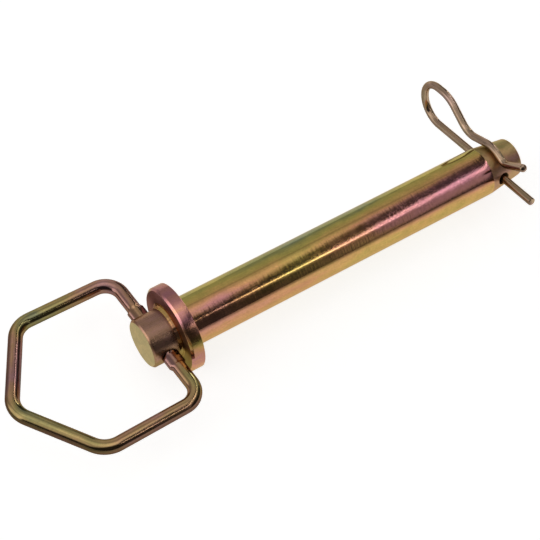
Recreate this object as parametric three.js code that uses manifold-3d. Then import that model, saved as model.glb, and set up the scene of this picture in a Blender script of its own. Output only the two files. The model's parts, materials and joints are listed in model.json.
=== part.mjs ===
// Hitch pin with a collar, a swinging wire handle and a spring clip through its nose.
// Millimetres, +Z up. X runs along the pin from the handle to the nose, and Y is the handle's hinge.
// The group's origin is the middle of the bounding box's bottom face.
import * as THREE from 'three';
import { mergeVertices } from 'three/addons/utils/BufferGeometryUtils.js';
import Module from 'manifold-3d';

const wasm = await Module();
wasm.setup();

// Driving dimensions. Every length below is a multiple of the shank's radius.
const SHANK_RADIUS = 12.7;
const GAP = 0.3;
const ROUND_SEGMENTS = 72;
const WIRE_SEGMENTS = 24;
const BEND_STEP = THREE.MathUtils.degToRad(10);
const MERGE_DISTANCE = 1e-4;
const DRILL_LENGTH = 4 * SHANK_RADIUS;

// Pin body, measured along X from the flat end of the head.
const HEAD_RADIUS = 0.985 * SHANK_RADIUS;
const HEAD_CHAMFER = 0.07 * SHANK_RADIUS;
const COLLAR_FRONT_X = 1.17 * SHANK_RADIUS;
const COLLAR_BACK_X = 1.71 * SHANK_RADIUS;
const NOSE_START_X = 15.8 * SHANK_RADIUS;
const PIN_LENGTH = 17.37 * SHANK_RADIUS;
const NOSE_RADIUS = 0.8 * SHANK_RADIUS;
const NOSE_CHAMFER = 0.06 * SHANK_RADIUS;
const HINGE_X = 0.615 * SHANK_RADIUS;
const CLIP_X = 16.33 * SHANK_RADIUS;

// Collar ring and the weld that holds it against the head.
const COLLAR_RADIUS = 1.745 * SHANK_RADIUS;
const COLLAR_BEVEL = 0.095 * SHANK_RADIUS;
const COLLAR_EDGE = 0.02 * SHANK_RADIUS;
const WELD_LEG = 0.125 * SHANK_RADIUS;
const WELD_HOLLOW = 0.3 * WELD_LEG;

// Handle: one bent wire, five corners, both ends in the head's cross bore.
const HANDLE_WIRE_RADIUS = 0.28 * SHANK_RADIUS;
const HANDLE_PLAY = 0.06 * SHANK_RADIUS;
const HANDLE_BORE_RADIUS = HANDLE_WIRE_RADIUS + HANDLE_PLAY;
const HANDLE_HALF_WIDTH = 3.148 * SHANK_RADIUS;
const HANDLE_SHOULDER_HALF_WIDTH = 3.215 * SHANK_RADIUS;
const HANDLE_SHOULDER_REACH = 4.146 * SHANK_RADIUS;
const HANDLE_APEX_REACH = 6.165 * SHANK_RADIUS;
const HANDLE_LEG_END = 0.2 * SHANK_RADIUS;
const HANDLE_BEND_RADIUS = 0.75 * SHANK_RADIUS;
const HANDLE_SHOULDER_BEND_RADIUS = 0.95 * SHANK_RADIUS;
const HANDLE_APEX_BEND_RADIUS = 0.95 * SHANK_RADIUS;
// The handle rests with its apex a little up and a little askew, as far as its loose bore lets it.
const HANDLE_TILT = THREE.MathUtils.degToRad(2.3);
const HANDLE_SKEW = THREE.MathUtils.degToRad(1.5);
const EAR_HALF_WIDTH = 1.22 * HANDLE_WIRE_RADIUS;
const EAR_HALF_LENGTH = 0.24 * SHANK_RADIUS;
const EAR_HALF_THICKNESS = 0.8 * HANDLE_WIRE_RADIUS;
const EAR_Y = HEAD_RADIUS + GAP + EAR_HALF_LENGTH;

// Spring clip, drawn in its own plane: Y along the straight leg, Z towards the arm.
const CLIP_WIRE_RADIUS = 0.16 * SHANK_RADIUS;
const CLIP_HOLE_RADIUS = 0.265 * SHANK_RADIUS;
const CLIP_LEAN = THREE.MathUtils.degToRad(-11.1);
const CLIP_LEG_END = -2.69 * SHANK_RADIUS;
const CLIP_LOOP_END = 4.35 * SHANK_RADIUS;
const CLIP_LOOP_HEIGHT = 1.93 * SHANK_RADIUS;
const CLIP_LOOP_CORNER_Y = 2.68 * SHANK_RADIUS;
const CLIP_LOOP_RADIUS = 0.95 * SHANK_RADIUS;
const CLIP_LOOP_CORNER_RADIUS = 1.2 * SHANK_RADIUS;
const CLIP_WAIST_Y = 1.42 * SHANK_RADIUS;
const CLIP_WAIST_RADIUS = 0.9 * SHANK_RADIUS;
const CLIP_ARCH_RADIUS = 1.12 * SHANK_RADIUS;
const CLIP_ARCH_BACK_ANGLE = THREE.MathUtils.degToRad(13.5);
const CLIP_ARCH_FRONT_ANGLE = THREE.MathUtils.degToRad(-28);
const CLIP_KICK_Y = -0.93 * SHANK_RADIUS;
const CLIP_KICK_ANGLE = THREE.MathUtils.degToRad(27);
const CLIP_KICK_LENGTH = 1.4 * SHANK_RADIUS;
const CLIP_KICK_RADIUS = 0.4 * SHANK_RADIUS;
// Where the arm springs from: on the straight run at the far side of the loop.
const CLIP_SPLIT_Y = 3.27 * SHANK_RADIUS;

// A path of stations joined by straight lines, which ExtrudeGeometry follows station by station.
class StationPath extends THREE.Curve {
  constructor(stations) {
    super();
    this.stations = stations;
  }

  getPointAt(fraction, target = new THREE.Vector3()) {
    const index = Math.round(fraction * (this.stations.length - 1));
    return target.copy(this.stations[index]);
  }

  getTangentAt(fraction, target = new THREE.Vector3()) {
    const last = this.stations.length - 1;
    const index = Math.round(fraction * last);
    const here = this.stations[index];
    const before = this.stations[Math.max(index - 1, 0)];
    const after = this.stations[Math.min(index + 1, last)];
    target.set(0, 0, 0);
    if (index > 0) target.add(here.clone().sub(before).normalize());
    if (index < last) target.add(after.clone().sub(here).normalize());
    return target.normalize();
  }
}

// Stations of a round bend of the given radius that cuts the corner between two straight runs.
function bendStations(before, corner, after, radius) {
  const inward = corner.clone().sub(before).normalize();
  const outward = after.clone().sub(corner).normalize();
  const turn = inward.angleTo(outward);
  const start = corner.clone().addScaledVector(inward, -radius * Math.tan(turn / 2));
  const axis = inward.clone().cross(outward).normalize();
  const towardsCentre = axis.clone().cross(inward);
  const centre = start.clone().addScaledVector(towardsCentre, radius);
  const spoke = start.clone().sub(centre);
  const steps = Math.max(2, Math.ceil(turn / BEND_STEP));
  const stations = [];
  for (let step = 0; step <= steps; step += 1) {
    stations.push(spoke.clone().applyAxisAngle(axis, (turn * step) / steps).add(centre));
  }
  return stations;
}

// Corners are [point, bend radius]; the two ends have no radius.
function bentWire(corners) {
  const stations = [corners[0][0]];
  for (let index = 1; index < corners.length - 1; index += 1) {
    const [corner, radius] = corners[index];
    stations.push(...bendStations(corners[index - 1][0], corner, corners[index + 1][0], radius));
  }
  stations.push(corners[corners.length - 1][0]);
  return stations;
}

function extrudeWire(stations, radius) {
  const section = new THREE.Shape();
  section.absarc(0, 0, radius, 0, 2 * Math.PI, false);
  return new THREE.ExtrudeGeometry(section, {
    steps: stations.length - 1,
    curveSegments: WIRE_SEGMENTS / 2,
    bevelEnabled: false,
    extrudePath: new StationPath(stations),
  });
}

// Lathe profiles are [distance along X, radius]; the result turns about the X axis.
function latheAlongX(profile) {
  const points = profile.map(([along, radius]) => new THREE.Vector2(radius, along));
  return new THREE.LatheGeometry(points, ROUND_SEGMENTS).rotateZ(-Math.PI / 2);
}

function toManifold(geometry) {
  const bare = geometry.clone();
  bare.deleteAttribute('normal');
  bare.deleteAttribute('uv');
  const merged = mergeVertices(bare, MERGE_DISTANCE);
  const mesh = new wasm.Mesh({
    numProp: 3,
    vertProperties: new Float32Array(merged.attributes.position.array),
    triVerts: new Uint32Array(merged.index.array),
  });
  return new wasm.Manifold(mesh);
}

function toGeometry(manifold) {
  const mesh = manifold.getMesh();
  const geometry = new THREE.BufferGeometry();
  geometry.setAttribute('position', new THREE.BufferAttribute(mesh.vertProperties, 3));
  geometry.setIndex(new THREE.BufferAttribute(mesh.triVerts, 1));
  geometry.computeVertexNormals();
  return geometry;
}

function namedMesh(name, geometry, color, roughness) {
  const material = new THREE.MeshStandardMaterial({ color, roughness, metalness: 0.9 });
  const mesh = new THREE.Mesh(geometry, material);
  mesh.name = name;
  return mesh;
}

// A rod along Y, long enough to cut right through the pin.
function crossRod(radius) {
  return new THREE.CylinderGeometry(radius, radius, DRILL_LENGTH, WIRE_SEGMENTS);
}

// Head, shank and tapered nose in one bar, with the handle's bore and the clip's hole through it.
function pinBody() {
  const bar = toManifold(latheAlongX([
    [0, 0],
    [0, HEAD_RADIUS - HEAD_CHAMFER],
    [HEAD_CHAMFER, HEAD_RADIUS],
    [COLLAR_FRONT_X, HEAD_RADIUS],
    [COLLAR_FRONT_X, SHANK_RADIUS],
    [NOSE_START_X, SHANK_RADIUS],
    [PIN_LENGTH - NOSE_CHAMFER, NOSE_RADIUS],
    [PIN_LENGTH, NOSE_RADIUS - NOSE_CHAMFER],
    [PIN_LENGTH, 0],
  ]));
  const handleBore = crossRod(HANDLE_BORE_RADIUS).translate(HINGE_X, 0, 0);
  const clipHole = crossRod(CLIP_HOLE_RADIUS).rotateX(CLIP_LEAN).translate(CLIP_X, 0, 0);
  const drilled = bar.subtract(toManifold(handleBore)).subtract(toManifold(clipHole));
  return namedMesh('pin_body', toGeometry(drilled), 0x9c7b45, 0.3);
}

function collar() {
  const boreRadius = SHANK_RADIUS + GAP;
  const ring = latheAlongX([
    [COLLAR_FRONT_X, boreRadius],
    [COLLAR_FRONT_X, COLLAR_RADIUS - COLLAR_BEVEL],
    [COLLAR_FRONT_X + COLLAR_BEVEL, COLLAR_RADIUS],
    [COLLAR_BACK_X - COLLAR_EDGE, COLLAR_RADIUS],
    [COLLAR_BACK_X, COLLAR_RADIUS - COLLAR_EDGE],
    [COLLAR_BACK_X, boreRadius],
    [COLLAR_FRONT_X, boreRadius],
  ]);
  return namedMesh('collar', toGeometry(toManifold(ring)), 0xa08355, 0.36);
}

// A fillet in the corner between the head and the front of the collar.
function collarWeld() {
  const inner = HEAD_RADIUS + GAP;
  const back = COLLAR_FRONT_X - GAP;
  const bead = latheAlongX([
    [back - WELD_LEG, inner],
    [back - (WELD_LEG - WELD_HOLLOW) / 2, inner + (WELD_LEG - WELD_HOLLOW) / 2],
    [back, inner + WELD_LEG],
    [back, inner],
    [back - WELD_LEG, inner],
  ]);
  return namedMesh('collar_weld', toGeometry(toManifold(bead)), 0xb58f4e, 0.45);
}

function flatPoint(x, y) {
  return new THREE.Vector3(x, y, 0);
}

// The handle lies in its own XY plane with the hinge on Y, and its apex towards -X.
function handle() {
  const stations = bentWire([
    [flatPoint(0, HANDLE_LEG_END)],
    [flatPoint(0, HANDLE_HALF_WIDTH), HANDLE_BEND_RADIUS],
    [flatPoint(-HANDLE_SHOULDER_REACH, HANDLE_SHOULDER_HALF_WIDTH), HANDLE_SHOULDER_BEND_RADIUS],
    [flatPoint(-HANDLE_APEX_REACH, 0), HANDLE_APEX_BEND_RADIUS],
    [flatPoint(-HANDLE_SHOULDER_REACH, -HANDLE_SHOULDER_HALF_WIDTH), HANDLE_SHOULDER_BEND_RADIUS],
    [flatPoint(0, -HANDLE_HALF_WIDTH), HANDLE_BEND_RADIUS],
    [flatPoint(0, -HANDLE_LEG_END)],
  ]);
  let wire = toManifold(extrudeWire(stations, HANDLE_WIRE_RADIUS));
  // The wire is squeezed flat just outside the head on both sides, so it can't slide through.
  for (const side of [-1, 1]) {
    const ear = new THREE.SphereGeometry(1, WIRE_SEGMENTS, WIRE_SEGMENTS / 2);
    ear.scale(EAR_HALF_WIDTH, EAR_HALF_LENGTH, EAR_HALF_THICKNESS);
    ear.translate(0, side * EAR_Y, 0);
    wire = wire.add(toManifold(ear));
  }
  return namedMesh('handle', toGeometry(wire), 0xa67c48, 0.34);
}

function clipPoint(y, z) {
  return new THREE.Vector3(0, y, z);
}

// A point on the line that touches the arch at this angle from Z, at the given Y.
function onArchTangent(angle, y) {
  return clipPoint(y, (CLIP_ARCH_RADIUS - y * Math.sin(angle)) / Math.cos(angle));
}

function clipStations() {
  const middleAngle = (CLIP_ARCH_BACK_ANGLE + CLIP_ARCH_FRONT_ANGLE) / 2;
  const halfArch = (CLIP_ARCH_BACK_ANGLE - CLIP_ARCH_FRONT_ANGLE) / 2;
  const archReach = CLIP_ARCH_RADIUS / Math.cos(halfArch);
  const kick = onArchTangent(CLIP_ARCH_FRONT_ANGLE, CLIP_KICK_Y);
  const kickRun = clipPoint(-Math.cos(CLIP_KICK_ANGLE), Math.sin(CLIP_KICK_ANGLE));
  return bentWire([
    [clipPoint(CLIP_LEG_END, 0)],
    [clipPoint(CLIP_LOOP_END, 0), CLIP_LOOP_RADIUS],
    [clipPoint(CLIP_LOOP_END, CLIP_LOOP_HEIGHT), CLIP_LOOP_RADIUS],
    [clipPoint(CLIP_LOOP_CORNER_Y, CLIP_LOOP_HEIGHT), CLIP_LOOP_CORNER_RADIUS],
    [onArchTangent(CLIP_ARCH_BACK_ANGLE, CLIP_WAIST_Y), CLIP_WAIST_RADIUS],
    [clipPoint(archReach * Math.sin(middleAngle), archReach * Math.cos(middleAngle)), CLIP_ARCH_RADIUS],
    [kick, CLIP_KICK_RADIUS],
    [kick.clone().addScaledVector(kickRun, CLIP_KICK_LENGTH)],
  ]);
}

// Divides the wire where it comes back past the given Y on the loop's far side.
function splitAtY(stations, splitY) {
  const after = stations.findIndex((station) => station.z > CLIP_LOOP_RADIUS && station.y < splitY);
  const from = stations[after - 1];
  const to = stations[after];
  const split = from.clone().lerp(to, (splitY - from.y) / (to.y - from.y));
  const along = to.clone().sub(from).normalize();
  const loopEnd = split.clone().addScaledVector(along, -GAP / 2);
  const armStart = split.clone().addScaledVector(along, GAP / 2);
  return {
    loop: [...stations.slice(0, after), loopEnd],
    arm: [armStart, ...stations.slice(after)],
  };
}

// The clip is one springy wire. Its arm bends open from the loop, so it is a solid of its own.
function clipPieces() {
  const pieces = splitAtY(clipStations(), CLIP_SPLIT_Y);
  const loop = toGeometry(toManifold(extrudeWire(pieces.loop, CLIP_WIRE_RADIUS)));
  const arm = toGeometry(toManifold(extrudeWire(pieces.arm, CLIP_WIRE_RADIUS)));
  return [namedMesh('clip_leg_and_loop', loop, 0x8a6a3a, 0.32), namedMesh('clip_arm', arm, 0x8f6f3e, 0.32)];
}

const handleHinge = new THREE.Group();
handleHinge.position.set(HINGE_X, 0, 0);
handleHinge.rotation.set(0, HANDLE_TILT, HANDLE_SKEW);
handleHinge.add(handle());

const clip = new THREE.Group();
clip.position.set(CLIP_X, 0, 0);
clip.rotation.x = CLIP_LEAN;
clip.add(...clipPieces());

const hitchPin = new THREE.Group();
hitchPin.add(pinBody(), collar(), collarWeld(), handleHinge, clip);
hitchPin.updateMatrixWorld(true);
const bounds = new THREE.Box3().setFromObject(hitchPin, true);
const middle = bounds.getCenter(new THREE.Vector3());
hitchPin.position.set(-middle.x, -middle.y, -bounds.min.z);

const scene = new THREE.Group();
scene.add(hitchPin);

export default scene;
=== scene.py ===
"""Hitch pin with a collar, a swinging wire handle and a spring clip, in yellow zinc plating."""
import json
import math

import bmesh
import bpy
from mathutils import Matrix, Vector


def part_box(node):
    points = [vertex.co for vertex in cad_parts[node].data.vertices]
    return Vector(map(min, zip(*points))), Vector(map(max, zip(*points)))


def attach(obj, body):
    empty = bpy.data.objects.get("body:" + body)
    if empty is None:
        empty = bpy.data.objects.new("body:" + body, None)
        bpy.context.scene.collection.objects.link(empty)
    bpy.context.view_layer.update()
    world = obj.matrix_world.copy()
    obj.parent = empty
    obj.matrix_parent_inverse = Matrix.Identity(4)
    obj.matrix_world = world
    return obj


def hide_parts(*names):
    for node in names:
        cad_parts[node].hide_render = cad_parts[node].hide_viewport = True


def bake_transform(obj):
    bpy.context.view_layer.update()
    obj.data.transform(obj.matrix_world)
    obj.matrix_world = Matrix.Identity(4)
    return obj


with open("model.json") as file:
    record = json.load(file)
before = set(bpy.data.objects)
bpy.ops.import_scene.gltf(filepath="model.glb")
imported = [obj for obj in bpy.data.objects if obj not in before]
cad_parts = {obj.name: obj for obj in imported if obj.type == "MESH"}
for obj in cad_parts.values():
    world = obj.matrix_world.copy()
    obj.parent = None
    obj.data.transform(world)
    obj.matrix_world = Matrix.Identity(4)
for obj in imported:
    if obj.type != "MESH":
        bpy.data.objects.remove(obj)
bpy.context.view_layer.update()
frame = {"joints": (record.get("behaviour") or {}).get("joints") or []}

# ---- Places and sizes: some read from the imported part, the rest given ------------------------

MM = 0.001

pin_low, pin_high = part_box("pin_body")
collar_low, collar_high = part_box("collar")
clip_low, clip_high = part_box("clip_leg_and_loop")
joints = {joint["name"]: joint for joint in frame["joints"]}

SHANK_RADIUS = (pin_high.z - pin_low.z) / 2
PIN_AXIS = Vector((0, (pin_low.y + pin_high.y) / 2, (pin_low.z + pin_high.z) / 2))
HEAD_X = pin_low.x
PIN_LENGTH = pin_high.x - pin_low.x
COLLAR_FRONT = collar_low.x - HEAD_X
COLLAR_BACK = collar_high.x - HEAD_X
COLLAR_RADIUS = (collar_high.z - collar_low.z) / 2
HINGE = Vector(joints["handle_swing"]["pos_m"])
CLIP_CENTRE = Vector(((clip_low.x + clip_high.x) / 2, PIN_AXIS.y, PIN_AXIS.z))
CLIP_ALONG = Vector(joints["clip_pull"]["axis"]).normalized()
CLIP_SIDE = Vector((1, 0, 0))
CLIP_UP = CLIP_SIDE.cross(CLIP_ALONG)

# The rest of the CAD's driving dimensions, as multiples of the shank's radius.
HEAD_RADIUS = 0.985 * SHANK_RADIUS
HEAD_CHAMFER = 0.07 * SHANK_RADIUS
NOSE_START = 15.8 * SHANK_RADIUS
NOSE_RADIUS = 0.8 * SHANK_RADIUS
NOSE_CHAMFER = 0.06 * SHANK_RADIUS
COLLAR_BEVEL = 0.095 * SHANK_RADIUS
COLLAR_EDGE = 0.02 * SHANK_RADIUS
WELD_LEG = 0.14 * SHANK_RADIUS

HANDLE_WIRE = 0.28 * SHANK_RADIUS
HANDLE_BORE = 0.32 * SHANK_RADIUS
HANDLE_HALF_WIDTH = 3.148 * SHANK_RADIUS
HANDLE_SHOULDER_HALF_WIDTH = 3.215 * SHANK_RADIUS
HANDLE_SHOULDER_REACH = 4.146 * SHANK_RADIUS
HANDLE_APEX_REACH = 6.163 * SHANK_RADIUS
HANDLE_LEG_END = 0.2 * SHANK_RADIUS
HANDLE_BEND = 0.75 * SHANK_RADIUS
HANDLE_WIDE_BEND = 0.95 * SHANK_RADIUS
HANDLE_TILT = math.radians(2.3)
HANDLE_SKEW = math.radians(1.5)
EAR_START = 1.0 * SHANK_RADIUS
EAR_END = 1.50 * SHANK_RADIUS
EAR_SHARP_EDGE = 0.012 * SHANK_RADIUS
EAR_SOFT_EDGE = 0.048 * SHANK_RADIUS
EAR_WIDTH = 1.27
EAR_THICKNESS = 0.86

CLIP_WIRE = 0.16 * SHANK_RADIUS
CLIP_HOLE = 0.265 * SHANK_RADIUS
CLIP_LEG_END = -2.69 * SHANK_RADIUS
CLIP_LOOP_END = 4.35 * SHANK_RADIUS
CLIP_LOOP_HEIGHT = 1.93 * SHANK_RADIUS
CLIP_LOOP_CORNER = 2.68 * SHANK_RADIUS
CLIP_LOOP_BEND = 0.95 * SHANK_RADIUS
CLIP_CORNER_BEND = 1.2 * SHANK_RADIUS
CLIP_WAIST = 1.42 * SHANK_RADIUS
CLIP_WAIST_BEND = 0.9 * SHANK_RADIUS
CLIP_ARCH = 1.12 * SHANK_RADIUS
CLIP_ARCH_BACK = math.radians(13.5)
CLIP_ARCH_FRONT = math.radians(-28)
CLIP_KICK = -0.93 * SHANK_RADIUS
CLIP_KICK_ANGLE = math.radians(27)
CLIP_KICK_LENGTH = 1.4 * SHANK_RADIUS
CLIP_KICK_BEND = 0.4 * SHANK_RADIUS

# Small details that only the visible pieces have.
HEAD_FACE_ROUNDING = 0.02 * SHANK_RADIUS
CHAMFER_ROUNDING = 0.04 * SHANK_RADIUS
NOSE_START_ROUNDING = 2.0 * SHANK_RADIUS
NOSE_FACE_ROUNDING = 0.03 * SHANK_RADIUS
SHANK_STEP = 0.01 * SHANK_RADIUS
COLLAR_BORE = 0.998 * SHANK_RADIUS
COLLAR_FRONT_ROUNDING = 0.05 * SHANK_RADIUS
COLLAR_BACK_ROUNDING = 0.01 * SHANK_RADIUS
UNEVEN_FROM = 0.9 * COLLAR_RADIUS
RIM_UNEVENNESS = 0.10 * MM
FACE_UNEVENNESS = 0.05 * MM
WELD_BORE = 0.99 * HEAD_RADIUS
WELD_SINK = 0.02 * SHANK_RADIUS
WELD_RISE = 0.01 * SHANK_RADIUS
WELD_RIDGE = 0.16 * WELD_LEG
WELD_RIDGE_TURNS = 3
WELD_PITTING = 0.06 * MM
WELD_UNEVENNESS = 0.08 * MM

# How finely things are divided.
BAR_SEGMENTS = 160
WIRE_SEGMENTS = 36
DRILL_SEGMENTS = 64
DRILL_REACH = 2 * SHANK_RADIUS
WELD_STEPS = 12
EAR_STEPS = 12
EAR_SPARE_STEPS = 2
BEND_STEP = math.radians(5)
PROFILE_STEP = math.radians(15)
STRAIGHT_STEP = 0.12 * SHANK_RADIUS
SHARP_ANGLE = math.radians(32)
TINY = 1e-6

# The shapes of a wire's end, from the inside out. Each ring is (distance back from the end, share of
# the wire's width), with the distance in half widths.
DOME_LENGTH = 0.55
DOME_ANGLES = (0.5, 0.9, 1.2, 1.42)
WIRE_ENDS = {
    "plain": [(0.0, 1.0)],
    "flat": [(0.14, 1.0), (0.0, 0.86)],
    "dome": [(DOME_LENGTH, 1.0)] + [(DOME_LENGTH * (1 - math.sin(a)), math.cos(a)) for a in DOME_ANGLES],
}


# ---- Mesh building ---------------------------------------------------------------------------

def bend_points(before, corner, after, radius, step=BEND_STEP):
    """Points of the round bend that cuts the corner between two straight runs."""
    inward = (corner - before).normalized()
    outward = (after - corner).normalized()
    turn = inward.angle(outward)
    start = corner - inward * radius * math.tan(turn / 2)
    axis = inward.cross(outward).normalized()
    centre = start + axis.cross(inward) * radius
    spoke = start - centre
    count = max(2, math.ceil(turn / step))
    return [centre + Matrix.Rotation(turn * i / count, 3, axis) @ spoke for i in range(count + 1)]


def bent_path(corners):
    """Points along a wire: corners are (point, bend radius), and long straights are divided evenly."""
    points = [corners[0][0]]
    for i in range(1, len(corners) - 1):
        corner, radius = corners[i]
        points += bend_points(corners[i - 1][0], corner, corners[i + 1][0], radius)
    points.append(corners[-1][0])
    divided = [points[0]]
    for start, end in zip(points, points[1:]):
        count = max(1, math.ceil((end - start).length / STRAIGHT_STEP))
        divided += [start.lerp(end, i / count) for i in range(1, count + 1)]
    return divided


def finish_mesh(name, mesh_builder, grain, materials, zone=None):
    """Turns a bmesh into an object with smooth shading, sharp edges and its grain attribute.

    The grain of a point is its distance along the bar or wire, and its place in the section.
    zone(face) gives the number of the face's material.
    """
    bmesh.ops.recalc_face_normals(mesh_builder, faces=mesh_builder.faces)
    for face in mesh_builder.faces:
        face.smooth = True
        face.material_index = zone(face) if zone else 0
    for edge in mesh_builder.edges:
        edge.smooth = len(edge.link_faces) == 2 and edge.calc_face_angle(math.pi) < SHARP_ANGLE
    mesh = bpy.data.meshes.new(name)
    mesh_builder.to_mesh(mesh)
    mesh_builder.free()
    attribute = mesh.attributes.new("grain", "FLOAT_VECTOR", "POINT")
    for i, vertex in enumerate(mesh.vertices):
        attribute.data[i].vector = grain(i, vertex.co)
    piece = bpy.data.objects.new(name, mesh)
    bpy.context.scene.collection.objects.link(piece)
    for material in materials:
        mesh.materials.append(material)
    return piece


def add_tube(mesh_builder, rings, closed=False):
    """Joins rings of points into a tube. Its ends are filled unless the rings close on themselves."""
    made = [[mesh_builder.verts.new(point) for point in ring] for ring in rings]
    pairs = list(zip(made, made[1:]))
    if closed:
        pairs.append((made[-1], made[0]))
    for near, far in pairs:
        for i in range(len(near)):
            j = (i + 1) % len(near)
            mesh_builder.faces.new((near[i], near[j], far[j], far[i]))
    if not closed:
        mesh_builder.faces.new(list(reversed(made[0])))
        mesh_builder.faces.new(made[-1])


def round_profile(corners):
    """A lathe profile as (along, radius) points, from corners of (along, radius, rounding)."""
    flat = [Vector((along, radius, 0)) for along, radius, _ in corners]
    points = [flat[0]]
    for i in range(1, len(corners) - 1):
        rounding = corners[i][2]
        if rounding > 0:
            points += bend_points(flat[i - 1], flat[i], flat[i + 1], rounding, PROFILE_STEP)
        else:
            points.append(flat[i])
    points.append(flat[-1])
    return [(point.x, point.y) for point in points]


def divide_profile(profile):
    """The same profile with its long runs divided evenly."""
    points = []
    for (along, radius), (next_along, next_radius) in zip(profile, profile[1:]):
        count = max(1, math.ceil((next_along - along) / STRAIGHT_STEP))
        for i in range(count):
            share = i / count
            points.append((along + (next_along - along) * share, radius + (next_radius - radius) * share))
    return points + [profile[-1]]


def lathe_ring(along, radius, wobble=None):
    """A ring of points round the pin's axis, at a distance along it from the head's face.

    wobble(along, radius, angle) moves each point outwards and along the axis.
    """
    ring = []
    for i in range(BAR_SEGMENTS):
        angle = 2 * math.pi * i / BAR_SEGMENTS
        out, shift = wobble(along, radius, angle) if wobble else (0, 0)
        ring.append(Vector((
            HEAD_X + along + shift,
            PIN_AXIS.y + (radius + out) * math.sin(angle),
            PIN_AXIS.z + (radius + out) * math.cos(angle),
        )))
    return ring


def bar_grain(_, point):
    return (point.x - HEAD_X, point.y - PIN_AXIS.y, point.z - PIN_AXIS.z)


def smooth_step(low, high, value):
    share = min(1, max(0, (value - low) / (high - low)))
    return share * share * (3 - 2 * share)


def wire_stations(path, section, start_along):
    """For each point of a wire: the point, its direction, how far along it is, and its half sizes."""
    stations = []
    along = start_along
    for i, point in enumerate(path):
        before = path[max(i - 1, 0)]
        after = path[min(i + 1, len(path) - 1)]
        along += (point - before).length
        stations.append((point, (after - before).normalized(), along, *section(point)))
    return stations


def end_stations(station, shape, outward):
    """The stations that shape a wire's end. outward is 1 at the end of the wire and -1 at its start."""
    point, tangent, along, width, thickness = station
    return [
        (point - tangent * outward * back * width, tangent, along, width * share, thickness * share)
        for back, share in WIRE_ENDS[shape]
    ]


def wire_piece(name, path, place, section, material, ends=("flat", "flat"), start_along=0.0):
    """A wire swept along a flat path. place turns path points into the shared frame.

    section(point) gives the wire's half width in the path's plane and across it. ends names the shape
    of each end. start_along is the length of wire before this piece.
    """
    across = Vector((0, 0, 1))
    stations = wire_stations(path, section, start_along)
    first = end_stations(stations[0], ends[0], -1)
    last = end_stations(stations[-1], ends[1], 1)
    rings = []
    grains = []
    for point, tangent, along, width, thickness in [*reversed(first), *stations[1:-1], *last]:
        side = across.cross(tangent).normalized()
        ring = []
        for i in range(WIRE_SEGMENTS):
            angle = 2 * math.pi * i / WIRE_SEGMENTS
            sideways = math.cos(angle) * width
            upward = math.sin(angle) * thickness
            ring.append(place(point + side * sideways + across * upward))
            grains.append((along, sideways, upward))
        rings.append(ring)
    mesh_builder = bmesh.new()
    add_tube(mesh_builder, rings)
    return finish_mesh(name, mesh_builder, lambda i, _: grains[i], [material])


# ---- Materials -------------------------------------------------------------------------------

class Nodes:
    """Short names for building a node tree."""

    def __init__(self, tree):
        self.tree = tree

    def new(self, kind, inputs=None, **settings):
        node = self.tree.nodes.new(kind)
        for key, value in settings.items():
            setattr(node, key, value)
        for key, value in (inputs or {}).items():
            if isinstance(value, bpy.types.NodeSocket):
                self.tree.links.new(value, node.inputs[key])
            else:
                node.inputs[key].default_value = value
        return node

    def math(self, operation, a, b=0.0, c=0.0):
        return self.new("ShaderNodeMath", {0: a, 1: b, 2: c}, operation=operation).outputs[0]

    def ramp(self, factor, stops):
        node = self.new("ShaderNodeValToRGB", {0: factor})
        elements = node.color_ramp.elements
        while len(elements) < len(stops):
            elements.new(1)
        for element, (position, colour) in zip(elements, stops):
            element.position = position
            element.color = (*colour, 1)
        return node.outputs[0]

    def noise(self, vector, along, across, detail, roughness):
        """Noise from 0 to 1, with its own scale along the bar or wire and across it."""
        scale = (along, across, across)
        stretched = self.new("ShaderNodeVectorMath", {0: vector, 1: scale}, operation="MULTIPLY")
        node = self.new("ShaderNodeTexNoise", {
            "Vector": stretched.outputs[0], "Scale": 1.0, "Detail": detail, "Roughness": roughness,
        })
        return node.outputs[0]

    def drift(self, value, noise, swing):
        """A value that a noise moves up and down by half the swing."""
        return self.math("MULTIPLY_ADD", self.math("SUBTRACT", noise, 0.5), swing, value)

    def factor(self, noise, swing):
        """A factor that a noise moves round 1 by half the swing."""
        return self.math("MULTIPLY_ADD", noise, swing, 1 - swing / 2)

    def bump(self, height, distance, before=None, strength=1.0):
        """A bumped normal, on top of the one before it."""
        inputs = {"Height": height, "Distance": distance, "Strength": strength}
        if before is not None:
            inputs["Normal"] = before
        return self.new("ShaderNodeBump", inputs).outputs[0]


# Interference colours of yellow zinc plating, in the order its film thickens.
FILM_COLOURS = [
    (0.00, (0.270, 0.330, 0.220)),
    (0.14, (0.330, 0.340, 0.130)),
    (0.30, (0.580, 0.480, 0.130)),
    (0.44, (0.720, 0.460, 0.150)),
    (0.58, (0.740, 0.370, 0.180)),
    (0.72, (0.680, 0.300, 0.270)),
    (0.86, (0.560, 0.240, 0.290)),
    (1.00, (0.330, 0.220, 0.230)),
]

HAZE_COLOUR = (0.50, 0.44, 0.34)
EDGE_TINT = (1.0, 0.85, 0.68)

# Noises of the plating: scale per metre along and across, detail and roughness.
BLOTCHES = (45, 130, 2.0, 0.5)
PATCHES = (160, 260, 4.0, 0.6)
STREAKS = (60, 2400, 3.0, 0.6)
FINE_GRAIN = (1100, 1100, 4.0, 0.65)
DIMPLES = (420, 420, 2.0, 0.5)
# The tool marks' scale along is set by their pitch.
TOOL_MARKS = (60, 3.0, 0.55)

PATCH_SHARE = 0.8
SHADE_SWING = 0.5
STREAK_ROUGHNESS = 0.10
PATCH_ROUGHNESS = 0.14
GRIT_HEIGHT = 0.03 * MM

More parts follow.
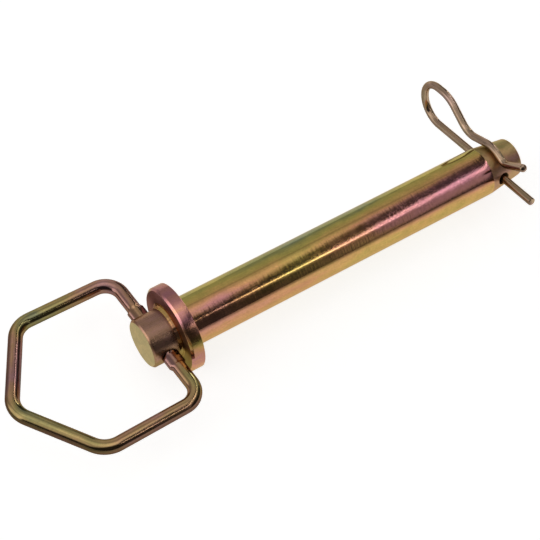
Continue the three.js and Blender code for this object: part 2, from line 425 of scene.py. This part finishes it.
# How thick the film is round each bar or wire, as (degrees, thickness). On the bar, the collar and the
# weld 0 is the top, -90 the front and 90 the back. On the handle 0 is the top and 90 the inner side. On
# the clip 0 is the side towards the nose's end.
SHANK_FILMS = [
    [(-180, 0.35), (-122, 0.46), (-96, 0.50), (-76, 0.58), (-64, 0.64), (-36, 0.62),
     (-20, 0.72), (-8, 0.62), (4, 0.44), (20, 0.30), (45, 0.22), (130, 0.60), (180, 0.35)],
    [(-180, 0.35), (-122, 0.42), (-96, 0.48), (-76, 0.58), (-60, 0.44), (-36, 0.36),
     (-14, 0.37), (0, 0.32), (14, 0.20), (26, 0.06), (45, 0.02), (130, 0.50), (180, 0.30)],
    [(-180, 0.30), (-122, 0.34), (-96, 0.38), (-76, 0.40), (-54, 0.52), (-36, 0.70),
     (-10, 0.60), (2, 0.46), (12, 0.30), (26, 0.10), (45, 0.04), (130, 0.60), (180, 0.35)],
    [(-180, 0.35), (-122, 0.40), (-96, 0.41), (-76, 0.44), (-54, 0.72), (-32, 0.84),
     (-20, 0.80), (-6, 0.58), (8, 0.42), (26, 0.28), (45, 0.20), (130, 0.70), (180, 0.35)],
]
SHANK_FILM_STATIONS = [reach * SHANK_RADIUS for reach in (3.5, 6.7, 9.5, 12.5)]
STUB_FILM = [
    (-180, 0.50), (-100, 0.52), (-50, 0.62), (-10, 0.68), (25, 0.72), (60, 0.5), (120, 0.6), (180, 0.50),
]
WELD_FILM = [(-180, 0.45), (-70, 0.42), (-30, 0.64), (0, 0.50), (30, 0.44), (70, 0.6), (180, 0.45)]
NOSE_FILM = [(-180, 0.45), (-90, 0.50), (-40, 0.60), (-10, 0.46), (30, 0.34), (120, 0.6), (180, 0.45)]
COLLAR_RIM_FILM = [
    (-180, 0.50), (-118, 0.42), (-92, 0.72), (-76, 0.52), (-60, 0.36), (-44, 0.66), (-28, 0.80),
    (-14, 0.64), (0, 0.72), (26, 0.80), (50, 0.70), (68, 0.24), (180, 0.50),
]
COLLAR_FACE_FILM = [
    (-180, 0.50), (-110, 0.34), (-60, 0.50), (-10, 0.80), (60, 0.86), (120, 0.70), (180, 0.50),
]
HANDLE_FILM = [
    (-180, 0.42), (-140, 0.48), (-100, 0.62), (-45, 0.50), (-15, 0.42), (15, 0.42), (50, 0.54),
    (120, 0.50), (180, 0.42),
]
# The handle's film also thickens and thins along the wire: (distance in shank radii, change).
HANDLE_FILM_DRIFT = [
    (2.2, 0.18), (4.0, 0.12), (6.0, -0.40), (7.6, 0.24), (9.2, 0.44), (10.6, -0.14), (12.8, 0.04),
    (14.6, -0.04), (16.6, 0.16), (18.6, 0.0), (20.0, 0.22),
]
HANDLE_FILM_STATIONS = [reach * SHANK_RADIUS for reach, _ in HANDLE_FILM_DRIFT]
HANDLE_FILMS = [
    [(degrees, thickness + change) for degrees, thickness in HANDLE_FILM] for _, change in HANDLE_FILM_DRIFT
]
CLIP_FILM = [(-180, 0.54), (-90, 0.62), (0, 0.54), (90, 0.60), (180, 0.54)]
EVEN_FILM = [(-180, 0.3), (180, 0.3)]

# How light the plating is painted round each bar or wire, on the same angles. On the handle, the collar's
# rim, the weld and the clip these are painted highlights and painted shade. On the shank a thin line just
# past the top is darker.
EVEN_TONE = [(-180, 1.0), (180, 1.0)]
# On the shank: a thin line just past the top is darker.
SHANK_TONE = [(-180, 1.0), (-3, 1.0), (-0.5, 0.74), (2, 1.0), (180, 1.0)]
# On the handle: painted highlights either side of the wire's top and of its underside, and painted shade on
# its sides.
HANDLE_PAINTED_LIGHT = [
    (-180, 0.68), (-160, 0.95), (-140, 0.40), (-120, 0.34), (-85, 0.32), (-60, 0.38), (-38, 0.44),
    (-20, 0.95), (0, 0.68), (18, 0.90), (34, 0.40), (60, 0.50), (90, 0.46), (120, 0.40), (142, 0.44),
    (160, 0.95), (180, 0.68),
]
# On the collar's rim: a painted highlight just in front of the top, and painted shade round the rest.
COLLAR_RIM_PAINTED_LIGHT = [
    (-180, 0.8), (-100, 0.8), (-78, 0.66), (-44, 0.54), (-26, 0.6), (-19, 0.86), (-14, 1.0), (-6, 0.95),
    (4, 0.72), (14, 0.6), (50, 0.52), (68, 0.50), (180, 0.7),
]
# On the weld: a painted highlight just behind the top, and painted shade round the rest.
WELD_PAINTED_LIGHT = [(-180, 0.6), (-20, 0.5), (6, 0.8), (22, 0.8), (50, 0.5), (180, 0.6)]
# On the clip: a painted highlight on the wire's side towards the nose's end, and painted shade on the side
# away from it.
CLIP_PAINTED_LIGHT = [
    (-180, 0.42), (-150, 0.46), (-115, 0.8), (-40, 1.0), (40, 1.0), (115, 0.8), (150, 0.46), (180, 0.42),
]


def round_ramp(nodes, turn, stops):
    """A value that changes with the angle round the section. turn is the angle, from 0 to 1."""
    return nodes.ramp(turn, [((degrees + 180) / 360, (value, value, value)) for degrees, value in stops])


def film_thickness(nodes, turn, along, films, stations):
    """The thickness round the section, which blends from film to film between the stations."""
    rounds = [round_ramp(nodes, turn, film) for film in films]
    thickness = rounds[0]
    for i in range(1, len(films)):
        share = nodes.new("ShaderNodeMapRange", {0: along, 1: stations[i - 1], 2: stations[i]}).outputs[0]
        change = nodes.math("SUBTRACT", rounds[i], rounds[i - 1])
        thickness = nodes.math("MULTIPLY_ADD", change, share, thickness)
    return thickness


def film_colour(nodes, thickness, haze):
    return nodes.ramp(thickness, [
        (position, [part + (grey - part) * haze for part, grey in zip(colour, HAZE_COLOUR)])
        for position, colour in FILM_COLOURS
    ])


def zinc(name, films, stations=(0.0,), tone_and_painted_light=EVEN_TONE, level=1.0, haze=0.0, blotch=0.2, roughness=0.2,
         streak=0.08, lining=0.0, lines=0.006 * MM, marks=0.0, mark_pitch=0.8 * MM, dents=0.0, grit=0.3,
         edge=1.0):
    """Plated steel. The film's colour runs in bands along the bar or wire, and drifts in blotches.

    films holds the bands at each station along the bar. The ramp of lightness round the section paints
    highlights and shade on the handle, the collar's rim, the weld and the clip, and a thin darker line on
    the shank. level lightens or darkens it all, and haze greys it. blotch and streak are how far the film
    drifts. lining darkens the drawing lines along the wire and lines is their height. marks is the height
    of the tool marks round it and mark_pitch their spacing. dents is the height of the larger dimples,
    grit the strength of the fine grain, and edge the brightness at a glancing angle.
    """
    material = bpy.data.materials.new(name)
    material.use_nodes = True
    material.node_tree.nodes.clear()
    nodes = Nodes(material.node_tree)
    grain = nodes.new("ShaderNodeAttribute", attribute_name="grain").outputs["Vector"]
    along, sideways, upward = nodes.new("ShaderNodeSeparateXYZ", {0: grain}).outputs
    turn = nodes.math("MULTIPLY_ADD", nodes.math("ARCTAN2", sideways, upward), 0.5 / math.pi, 0.5)
    patches = nodes.noise(grain, *PATCHES)
    streaks = nodes.noise(grain, *STREAKS)
    fine = nodes.noise(grain, *FINE_GRAIN)

    thickness = film_thickness(nodes, turn, along, films, stations)
    thickness = nodes.drift(thickness, nodes.noise(grain, *BLOTCHES), 2 * blotch)
    thickness = nodes.drift(thickness, patches, PATCH_SHARE * blotch)
    thickness = nodes.drift(thickness, streaks, 2 * streak)

    shade = nodes.math("MULTIPLY", nodes.factor(fine, SHADE_SWING), nodes.factor(patches, SHADE_SWING))
    # The ramp round the section paints highlights and shade into the colour. On the shank it is a thin
    # darker line.
    shade = nodes.math("MULTIPLY", shade, round_ramp(nodes, turn, tone_and_painted_light))
    shade = nodes.math("MULTIPLY", shade, nodes.factor(streaks, 2 * lining))
    shade = nodes.math("MULTIPLY", shade, level)
    colour = film_colour(nodes, thickness, haze)
    shaded = nodes.new("ShaderNodeVectorMath", {0: colour, 3: shade}, operation="SCALE").outputs[0]

    normal = nodes.bump(nodes.noise(grain, *DIMPLES), dents)
    normal = nodes.bump(nodes.noise(grain, 1 / mark_pitch, *TOOL_MARKS), marks, normal)
    normal = nodes.bump(streaks, lines, normal)
    normal = nodes.bump(fine, GRIT_HEIGHT, normal, grit)

    rough = nodes.drift(roughness, streaks, STREAK_ROUGHNESS)
    shader = nodes.new("ShaderNodeBsdfPrincipled", {
        "Base Color": shaded,
        "Metallic": 1.0,
        "Roughness": nodes.drift(rough, patches, PATCH_ROUGHNESS),
        "Normal": normal,
        "Specular Tint": (*(part * edge for part in EDGE_TINT), 1),
    })
    nodes.new("ShaderNodeOutputMaterial", {"Surface": shader.outputs[0]})
    return material


# ---- Pieces ----------------------------------------------------------------------------------

# A face whose normal points this far along the pin belongs to an end face, or to the collar's faces.
END_FACE_SLOPE = 0.95
COLLAR_FACE_SLOPE = 0.9
RIPPLE_STRIDE = 1.7
# Ripples round the pin: how many waves each, and a seed.
RIM_RIPPLE = ((2, 3, 7, 11), 1.3)
FACE_RIPPLE = ((3, 5, 8), 2.1)
PITTING_RIPPLE = ((29, 41, 67), 0.7)
WELD_RIPPLE = ((3, 5, 9), 1.9)


def cut_with(mesh_builder, cutters):
    """Cuts closed tubes out of a closed mesh and returns the result as a bmesh."""
    def as_object(name, builder):
        mesh = bpy.data.meshes.new(name)
        bmesh.ops.recalc_face_normals(builder, faces=builder.faces)
        builder.to_mesh(mesh)
        builder.free()
        made = bpy.data.objects.new(name, mesh)
        bpy.context.scene.collection.objects.link(made)
        return made

    target = as_object("uncut", mesh_builder)
    tools = [as_object("cutter", cutter) for cutter in cutters]
    for tool in tools:
        modifier = target.modifiers.new("cut", "BOOLEAN")
        modifier.object = tool
        modifier.operation = "DIFFERENCE"
        modifier.solver = "EXACT"
    result = bmesh.new()
    result.from_object(target, bpy.context.evaluated_depsgraph_get())
    for spare in [target, *tools]:
        bpy.data.objects.remove(spare)
    return result


def drill(centre, direction, radius):
    """A long round cutter through a point."""
    side = Vector((1, 0, 0))
    up = direction.cross(side).normalized()
    rings = []
    for reach in (-DRILL_REACH, DRILL_REACH):
        ring = []
        for i in range(DRILL_SEGMENTS):
            angle = 2 * math.pi * i / DRILL_SEGMENTS
            spoke = side * math.cos(angle) + up * math.sin(angle)
            ring.append(centre + direction * reach + spoke * radius)
        rings.append(ring)
    cutter = bmesh.new()
    add_tube(cutter, rings)
    return cutter


def make_bar(shank, stub, nose, end_face):
    corners = [
        (0, 0, 0),
        (0, HEAD_RADIUS - HEAD_CHAMFER, HEAD_FACE_ROUNDING),
        (HEAD_CHAMFER, HEAD_RADIUS, CHAMFER_ROUNDING),
        (COLLAR_FRONT, HEAD_RADIUS, 0),
        (COLLAR_FRONT + SHANK_STEP, SHANK_RADIUS, 0),
        (NOSE_START, SHANK_RADIUS, NOSE_START_ROUNDING),
        (PIN_LENGTH - NOSE_CHAMFER, NOSE_RADIUS, CHAMFER_ROUNDING),
        (PIN_LENGTH, NOSE_RADIUS - NOSE_CHAMFER, NOSE_FACE_ROUNDING),
        (PIN_LENGTH, 0, 0),
    ]
    # The first and last corners only aim the roundings. The tube's own ends are the flat faces.
    profile = round_profile(corners)[1:-1]
    bar = bmesh.new()
    add_tube(bar, [lathe_ring(along, radius) for along, radius in divide_profile(profile)])
    bar = cut_with(bar, [
        drill(Vector((HINGE.x, PIN_AXIS.y, PIN_AXIS.z)), Vector((0, 1, 0)), HANDLE_BORE),
        drill(CLIP_CENTRE, CLIP_ALONG, CLIP_HOLE),
    ])
    materials = [shank, stub, nose, end_face]

    def zone(face):
        along = face.calc_center_median().x - HEAD_X
        if abs(face.normal.x) > END_FACE_SLOPE:
            return materials.index(end_face)
        if along < COLLAR_FRONT:
            return materials.index(stub)
        return materials.index(nose if along > NOSE_START else shank)

    piece = finish_mesh("pin_bar", bar, bar_grain, materials, zone)
    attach(piece, "pin")
    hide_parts("pin_body")


def ripple(angle, waves, seed):
    """A repeatable unevenness round the pin, from -1 to 1."""
    return sum(math.sin(wave * angle + seed * wave * RIPPLE_STRIDE) for wave in waves) / len(waves)


def make_collar(rim, front):
    def wobble(along, radius, angle):
        if radius < UNEVEN_FROM:
            return 0, 0
        out = RIM_UNEVENNESS * ripple(angle, *RIM_RIPPLE)
        return out, FACE_UNEVENNESS * ripple(angle, *FACE_RIPPLE)

    profile = round_profile([
        (COLLAR_FRONT, COLLAR_BORE, 0),
        (COLLAR_FRONT, COLLAR_RADIUS - COLLAR_BEVEL, COLLAR_FRONT_ROUNDING),
        (COLLAR_FRONT + COLLAR_BEVEL, COLLAR_RADIUS, COLLAR_FRONT_ROUNDING),
        (COLLAR_BACK - COLLAR_EDGE, COLLAR_RADIUS, COLLAR_BACK_ROUNDING),
        (COLLAR_BACK, COLLAR_RADIUS - COLLAR_EDGE, COLLAR_BACK_ROUNDING),
        (COLLAR_BACK, COLLAR_BORE, 0),
    ])
    ring_body = bmesh.new()
    add_tube(ring_body, [lathe_ring(along, radius, wobble) for along, radius in profile], closed=True)

    def zone(face):
        return int(abs(face.normal.x) > COLLAR_FACE_SLOPE)

    piece = finish_mesh("collar_ring", ring_body, bar_grain, [rim, front], zone)
    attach(piece, "pin")
    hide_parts("collar")


def make_weld(material):
    def wobble(along, radius, angle):
        if radius < HEAD_RADIUS or along > COLLAR_FRONT:
            return 0, 0
        lift = WELD_PITTING * ripple(angle, *PITTING_RIPPLE)
        lift += WELD_UNEVENNESS * ripple(angle, *WELD_RIPPLE)
        return lift, -lift

    # A hollow fillet from the stub to the collar, with two low ridges round it: one partway, and one
    # where it meets the collar.
    profile = [(COLLAR_FRONT - WELD_LEG, WELD_BORE)]
    for i in range(WELD_STEPS + 1):
        angle = math.pi / 2 * i / WELD_STEPS
        ridge = WELD_RIDGE * abs(math.sin(WELD_RIDGE_TURNS * angle))
        along = COLLAR_FRONT - WELD_LEG * (1 - math.sin(angle)) - ridge * math.cos(angle)
        radius = HEAD_RADIUS + WELD_RISE + WELD_LEG * (1 - math.cos(angle)) + ridge * math.sin(angle)
        profile.append((along, radius))
    back = COLLAR_FRONT + WELD_SINK
    profile += [(back, profile[-1][1]), (back, WELD_BORE)]
    bead = bmesh.new()
    add_tube(bead, [lathe_ring(along, radius, wobble) for along, radius in profile], closed=True)
    piece = finish_mesh("weld_bead", bead, bar_grain, [material])
    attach(piece, "pin")
    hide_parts("collar_weld")


def handle_path():
    """The handle's path, flat, from one end in the bore round to the other."""
    def flat(x, y):
        return Vector((x, y, 0))

    # Close points through the ears and a little past them, so that the ears keep their shape.
    steps = range(-EAR_SPARE_STEPS, EAR_STEPS + EAR_SPARE_STEPS + 1)
    ear = [EAR_START + (EAR_END - EAR_START) * i / EAR_STEPS for i in steps]
    leg = [flat(0, y) for y in (HANDLE_LEG_END, *ear)]
    other_leg = [flat(0, -point.y) for point in reversed(leg)]
    loop = bent_path([
        (leg[-1], 0),
        (flat(0, HANDLE_HALF_WIDTH), HANDLE_BEND),
        (flat(-HANDLE_SHOULDER_REACH, HANDLE_SHOULDER_HALF_WIDTH), HANDLE_WIDE_BEND),
        (flat(-HANDLE_APEX_REACH, 0), HANDLE_WIDE_BEND),
        (flat(-HANDLE_SHOULDER_REACH, -HANDLE_SHOULDER_HALF_WIDTH), HANDLE_WIDE_BEND),
        (flat(0, -HANDLE_HALF_WIDTH), HANDLE_BEND),
        (other_leg[0], 0),
    ])
    return leg[:-1] + loop + other_leg[1:]


def make_handle(material):
    def section(point):
        reach = abs(point.y)
        share = 0
        if point.x > -TINY:
            share = smooth_step(EAR_START - EAR_SHARP_EDGE, EAR_START, reach)
            share *= 1 - smooth_step(EAR_END - EAR_SOFT_EDGE, EAR_END + EAR_SOFT_EDGE, reach)
        return HANDLE_WIRE * (1 + (EAR_WIDTH - 1) * share), HANDLE_WIRE * (1 + (EAR_THICKNESS - 1) * share)

    turn = Matrix.Rotation(HANDLE_TILT, 3, "Y") @ Matrix.Rotation(HANDLE_SKEW, 3, "Z")
    piece = wire_piece("handle_wire", handle_path(), lambda point: HINGE + turn @ point, section, material)
    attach(piece, "handle")
    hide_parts("handle")


def arch_tangent(angle, along):
    """A point of the line that touches the clip's arch at this angle."""
    return Vector((along, (CLIP_ARCH - along * math.sin(angle)) / math.cos(angle), 0))


def clip_place(point):
    return CLIP_CENTRE + CLIP_ALONG * point.x + CLIP_UP * point.y + CLIP_SIDE * point.z


def clip_path():
    """The clip's path, flat, from the end of its leg round the loop to the tip of its arm."""
    arch_middle = (CLIP_ARCH_BACK + CLIP_ARCH_FRONT) / 2
    arch_corner = CLIP_ARCH / math.cos((CLIP_ARCH_BACK - CLIP_ARCH_FRONT) / 2)
    kick = arch_tangent(CLIP_ARCH_FRONT, CLIP_KICK)
    kick_run = Vector((-math.cos(CLIP_KICK_ANGLE), math.sin(CLIP_KICK_ANGLE), 0))
    return bent_path([
        (Vector((CLIP_LEG_END, 0, 0)), 0),
        (Vector((CLIP_LOOP_END, 0, 0)), CLIP_LOOP_BEND),
        (Vector((CLIP_LOOP_END, CLIP_LOOP_HEIGHT, 0)), CLIP_LOOP_BEND),
        (Vector((CLIP_LOOP_CORNER, CLIP_LOOP_HEIGHT, 0)), CLIP_CORNER_BEND),
        (arch_tangent(CLIP_ARCH_BACK, CLIP_WAIST), CLIP_WAIST_BEND),
        (Vector((math.sin(arch_middle), math.cos(arch_middle), 0)) * arch_corner, CLIP_ARCH),
        (kick, CLIP_KICK_BEND),
        (kick + kick_run * CLIP_KICK_LENGTH, 0),
    ])


def make_clip(material):
    def section(_):
        return CLIP_WIRE, CLIP_WIRE

    # The leg is its own piece. The rest of the wire starts where the loop begins to bend.
    path = clip_path()
    seam = next(i for i, point in enumerate(path) if point.y > TINY) - 1
    leg_length = (path[seam] - path[0]).length
    leg = wire_piece("clip_wire_leg", path[:seam + 1], clip_place, section, material, ("flat", "plain"))
    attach(leg, "clip")
    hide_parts("clip_leg_and_loop")
    spring = wire_piece(
        "clip_wire_spring", path[seam:], clip_place, section, material, ("plain", "dome"), leg_length
    )
    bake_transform(spring)
    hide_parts("clip_arm")


# ---- Studio ----------------------------------------------------------------------------------

CAMERA_LENS = 117.1
CAMERA_SENSOR = 36
CAMERA_AZIMUTH = -35.52
CAMERA_ELEVATION = 53.61
CAMERA_ROLL = 2.88
CAMERA_CLIP = (0.01, 20)
# Where the camera stands, from the centre of the head's flat face, in shank radii.
CAMERA_PLACE = Vector((-17.39, -32.32, 54.49))

WHITE = (1, 1, 1, 1)

FLOOR_HALF = 4.0
FLOOR_COLOUR = (0.5, 0.5, 0.5, 1)
FLOOR_SEEN_GLOW = 0.8
# Metres over which the paper's glow rises, and the two levels. First along y, then along x.
FLOOR_FRONT_RISE = (-0.30, -0.10, 0.05, 0.5)
FLOOR_SIDE_RISE = (-0.21, -0.09, 0.05, 1.0)

# The dome's angles are in degrees round the pin's length: 0 is overhead, 90 the front horizon and -90 the
# back one. An edge is (start, end) and a band is (low, high, softness). Fades are on the direction's x or
# y, which run from -1 to 1.
DOME_COLOUR = (1.0, 0.98, 0.95, 1)
DOME_LEVEL = 0.40
OVERHEAD_BAND = (-16, 30, 12)
OVERHEAD_LEVEL = 0.32
BACK_EDGE = (-80, -110)
BACK_LEVEL = 0.3
LEFT_FADE_X = (-0.6, -0.85)
LEFT_FADE_Y = (-0.26, -0.1)
LEFT_LEVEL = 1.1
DARK_START = (10, 18)
DARK_END = (90, 99)
DARK_DEPTH = 0.91
# The lights over the dark side: (band, fade on x, level). The first is the narrow strip.
FRONT_LIGHTS = [
    ((42, 46.5, 1.2), (0.322, 0.350), 4.0),
    ((46, 53, 3.5), (0.32, 0.36), 0.35),
    ((44, 94, 4), (0.36, 0.44), 0.36),
]
# The dark side's first edge and the lights slant across the pin's length: (from this x, least x past it,
# degrees for each unit of x).
DARK_SLANT = (0.33, -0.06, 290)
LIGHT_SLANT = (0.385, 0.0, 240)


def make_camera():
    azimuth, elevation, roll = (math.radians(a) for a in (CAMERA_AZIMUTH, CAMERA_ELEVATION, CAMERA_ROLL))
    back = Vector((
        math.sin(azimuth) * math.cos(elevation),
        -math.cos(azimuth) * math.cos(elevation),
        math.sin(elevation),
    ))
    level = Vector((0, 0, 1)).cross(back).normalized()
    upright = back.cross(level)
    right = level * math.cos(roll) + upright * math.sin(roll)
    up = back.cross(right)
    data = bpy.data.cameras.new("camera")
    data.lens = CAMERA_LENS
    data.sensor_width = CAMERA_SENSOR
    data.clip_start, data.clip_end = CAMERA_CLIP
    camera = bpy.data.objects.new("camera", data)
    place = Vector((HEAD_X, PIN_AXIS.y, PIN_AXIS.z)) + CAMERA_PLACE * SHANK_RADIUS
    camera.matrix_world = Matrix((
        (right.x, up.x, back.x, place.x),
        (right.y, up.y, back.y, place.y),
        (right.z, up.z, back.z, place.z),
        (0, 0, 0, 1),
    ))
    bpy.context.scene.collection.objects.link(camera)
    bpy.context.scene.camera = camera


def floor_rise(nodes, place, rise):
    start, end, low, high = rise
    return nodes.new("ShaderNodeMapRange", {0: place, 1: start, 2: end, 3: low, 4: high}).outputs[0]


def make_floor():
    material = bpy.data.materials.new("floor_paper")
    material.use_nodes = True
    material.node_tree.nodes.clear()
    nodes = Nodes(material.node_tree)
    # The paper glows a little, and less towards the front and the handle's end, where the studio is dark.
    position = nodes.new("ShaderNodeNewGeometry").outputs["Position"]
    x, y, _ = nodes.new("ShaderNodeSeparateXYZ", {0: position}).outputs
    glow = nodes.math(
        "MULTIPLY", floor_rise(nodes, y, FLOOR_FRONT_RISE), floor_rise(nodes, x, FLOOR_SIDE_RISE)
    )
    # To the camera it glows more, so that it looks white.
    camera_ray = nodes.new("ShaderNodeLightPath").outputs["Is Camera Ray"]
    seen = nodes.math("MULTIPLY", camera_ray, FLOOR_SEEN_GLOW)
    shader = nodes.new("ShaderNodeBsdfPrincipled", {
        "Base Color": FLOOR_COLOUR,
        "Roughness": 0.9,
        "Specular IOR Level": 0.1,
        "Emission Color": WHITE,
        "Emission Strength": nodes.math("MAXIMUM", seen, glow),
    })
    nodes.new("ShaderNodeOutputMaterial", {"Surface": shader.outputs[0]})
    corners = [(x * FLOOR_HALF, y * FLOOR_HALF, 0) for x, y in ((-1, -1), (1, -1), (1, 1), (-1, 1))]
    mesh = bpy.data.meshes.new("floor")
    mesh.from_pydata(corners, [], [(0, 1, 2, 3)])
    mesh.materials.append(material)
    floor = bpy.data.objects.new("floor", mesh)
    bpy.context.scene.collection.objects.link(floor)


def soft_step(nodes, edge, value):
    """Rises smoothly from 0 to 1 between the edge's start and end."""
    start, end = edge
    inputs = {0: value, 1: start, 2: end, 3: 0.0, 4: 1.0}
    return nodes.new("ShaderNodeMapRange", inputs, interpolation_type="SMOOTHSTEP").outputs[0]


def angle_step(nodes, edge, angle):
    start, end = edge
    return soft_step(nodes, (math.radians(start), math.radians(end)), angle)


def angle_band(nodes, band, angle):
    """1 inside the band and 0 outside it, with soft edges."""
    low, high, soft = band
    rise = angle_step(nodes, (low - soft, low + soft), angle)
    fall = angle_step(nodes, (high - soft, high + soft), angle)
    return nodes.math("SUBTRACT", rise, fall)


def slanted(nodes, angle, x, slant):
    """The angle with the slant added to it."""
    start, least, degrees = slant
    reach = nodes.math("MAXIMUM", nodes.math("SUBTRACT", x, start), least)
    return nodes.math("MULTIPLY_ADD", reach, math.radians(degrees), angle)


def make_world():
    """A pale dome with a dark front side, where a narrow strip light and two fainter lights cross it."""
    world = bpy.data.worlds.new("studio")
    bpy.context.scene.world = world
    world.use_nodes = True
    world.node_tree.nodes.clear()
    nodes = Nodes(world.node_tree)
    direction = nodes.new("ShaderNodeTexCoord").outputs["Generated"]
    x, y, z = nodes.new("ShaderNodeSeparateXYZ", {0: direction}).outputs
    angle = nodes.math("ARCTAN2", nodes.math("MULTIPLY", y, -1.0), z)

    dark_rise = angle_step(nodes, DARK_START, slanted(nodes, angle, x, DARK_SLANT))
    dark_fall = nodes.math("SUBTRACT", 1.0, angle_step(nodes, DARK_END, angle))
    dark = nodes.math("MULTIPLY", dark_rise, dark_fall)
    level = nodes.math("MULTIPLY_ADD", angle_band(nodes, OVERHEAD_BAND, angle), OVERHEAD_LEVEL, DOME_LEVEL)
    level = nodes.math("MULTIPLY", level, nodes.math("MULTIPLY_ADD", dark, -DARK_DEPTH, 1.0))
    light_angle = slanted(nodes, angle, x, LIGHT_SLANT)
    for band, fade, light_level in FRONT_LIGHTS:
        light = nodes.math("MULTIPLY", angle_band(nodes, band, light_angle), soft_step(nodes, fade, x))
        level = nodes.math("MULTIPLY_ADD", light, light_level, level)
    left = nodes.math("MULTIPLY", soft_step(nodes, LEFT_FADE_X, x), soft_step(nodes, LEFT_FADE_Y, y))
    level = nodes.math("MULTIPLY_ADD", left, LEFT_LEVEL, level)
    level = nodes.math("MULTIPLY_ADD", angle_step(nodes, BACK_EDGE, angle), BACK_LEVEL, level)

    # The camera sees plain white, and everything else is lit by the dome.
    seen = nodes.new("ShaderNodeBackground", {0: WHITE, 1: 1.0})
    lit = nodes.new("ShaderNodeBackground", {0: DOME_COLOUR, 1: level})
    camera_ray = nodes.new("ShaderNodeLightPath").outputs["Is Camera Ray"]
    mixed = nodes.new("ShaderNodeMixShader", {0: camera_ray, 1: lit.outputs[0], 2: seen.outputs[0]})
    nodes.new("ShaderNodeOutputWorld", {"Surface": mixed.outputs[0]})


make_camera()
make_floor()
make_world()
bpy.context.scene.view_settings.view_transform = "Standard"

make_bar(
    zinc("zinc_shank", SHANK_FILMS, SHANK_FILM_STATIONS, tone_and_painted_light=SHANK_TONE, level=1.03, blotch=0.13,
         roughness=0.11, lining=0.12, marks=0.024 * MM, mark_pitch=0.85 * MM, grit=0.15),
    zinc("zinc_stub", [STUB_FILM], level=0.66, haze=0.3, blotch=0.18, roughness=0.29, lining=0.15,
         marks=0.012 * MM, mark_pitch=1.2 * MM, dents=0.03 * MM, grit=0.2, edge=0.7),
    zinc("zinc_nose", [NOSE_FILM], level=0.95, haze=0.3, blotch=0.25, roughness=0.42, marks=0.02 * MM,
         grit=0.6),
    zinc("zinc_end_face", [EVEN_FILM], level=1.12, haze=0.5, blotch=0.06, roughness=0.5, streak=0.02,
         grit=0.5),
)
make_collar(
    zinc("zinc_collar_rim", [COLLAR_RIM_FILM], tone_and_painted_light=COLLAR_RIM_PAINTED_LIGHT, level=1.25, blotch=0.28, roughness=0.18,
         lining=0.15, marks=0.02 * MM, dents=0.05 * MM, grit=0.3),
    zinc("zinc_collar_face", [COLLAR_FACE_FILM], level=0.75, haze=0.3, blotch=0.12, roughness=0.34,
         grit=0.5, edge=0.3),
)
make_weld(
    zinc("zinc_weld", [WELD_FILM], tone_and_painted_light=WELD_PAINTED_LIGHT, level=1.15, blotch=0.2, roughness=0.22, grit=0.4,
         edge=0.6)
)
make_handle(
    zinc("zinc_handle", HANDLE_FILMS, HANDLE_FILM_STATIONS, tone_and_painted_light=HANDLE_PAINTED_LIGHT, level=1.1, haze=0.28,
         blotch=0.4, roughness=0.13, streak=0.1, lining=0.5, lines=0.02 * MM, grit=0.25, edge=0.5)
)
make_clip(
    zinc("zinc_clip", [CLIP_FILM], tone_and_painted_light=CLIP_PAINTED_LIGHT, level=1.08, haze=0.62, blotch=0.3, roughness=0.13,
         streak=0.18, lining=0.75, lines=0.03 * MM, grit=0.3, edge=0.6)
)
